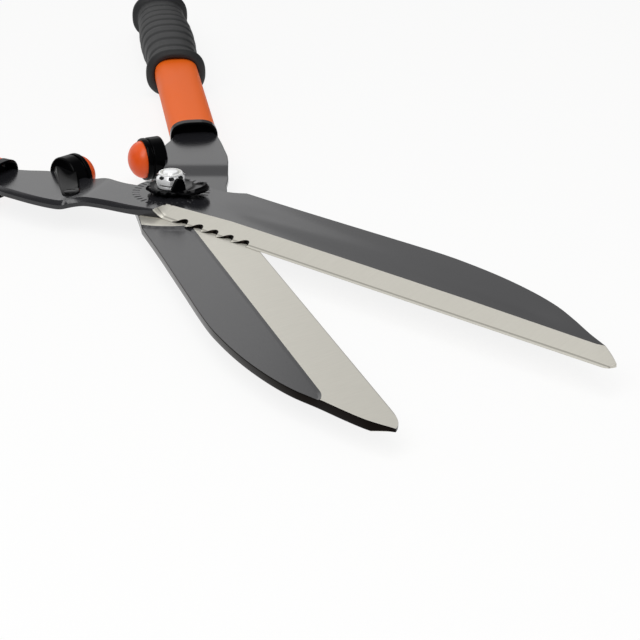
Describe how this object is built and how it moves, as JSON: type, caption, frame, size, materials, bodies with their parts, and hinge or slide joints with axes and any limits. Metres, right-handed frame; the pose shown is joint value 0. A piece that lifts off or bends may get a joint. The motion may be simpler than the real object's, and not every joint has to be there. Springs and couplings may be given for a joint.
{
  "type": "hedge shears",
  "caption": "Two-handed hedge shears: two long blades on a locked pivot, one with gullets at its root, arms with rubber stops, and oval tube handles with grips.",
  "frame": {"origin": "on the pivot axis, at the middle of the bolt head's flat underside", "axes": "+X from the pivot to the blade tips, midway between the blades; +Z along the pivot axis towards the nut"},
  "size_m": [0.539, 0.3312, 0.0281],
  "materials": {
    "forged_steel": "grey enamel with ground edges",
    "zinc_steel": "bright zinc",
    "black_steel": "black oxide, oiled",
    "nylon": "natural",
    "orange_rubber": "smooth",
    "orange_paint": "semi-gloss powder coat",
    "black_plastic": "moulded, semi-gloss",
    "grip_rubber": "matt"
  },
  "bodies": {
    "upper_half": {"upper_blade": "forged_steel", "pivot_bolt": "zinc_steel", "bolt_washer": "zinc_steel", "nut_washer": "zinc_steel", "pivot_nut": "zinc_steel", "nut_insert": "nylon", "lock_plate": "black_steel", "upper_bumper_dome": "orange_rubber", "upper_bumper_holder": "black_plastic", "upper_bumper_rivet": "black_steel", "upper_collar": "black_plastic", "upper_tube": "orange_paint", "upper_tang_core": "black_plastic", "upper_grip": "grip_rubber", "upper_end_cap": "black_plastic"},
    "lower_half": {"lower_blade": "forged_steel", "lower_bumper_dome": "orange_rubber", "lower_bumper_holder": "black_plastic", "lower_bumper_rivet": "black_steel", "lower_collar": "black_plastic", "lower_tube": "orange_paint", "lower_tang_core": "black_plastic", "lower_grip": "grip_rubber", "lower_end_cap": "black_plastic"}
  },
  "joints": [
    {"name": "pivot", "type": "hinge", "parent": "upper_half", "child": "lower_half", "pos_m": [0, 0, 0.0091], "axis": [0, 0, 1], "range_deg": [-59.9, 21.4]}
  ]
}
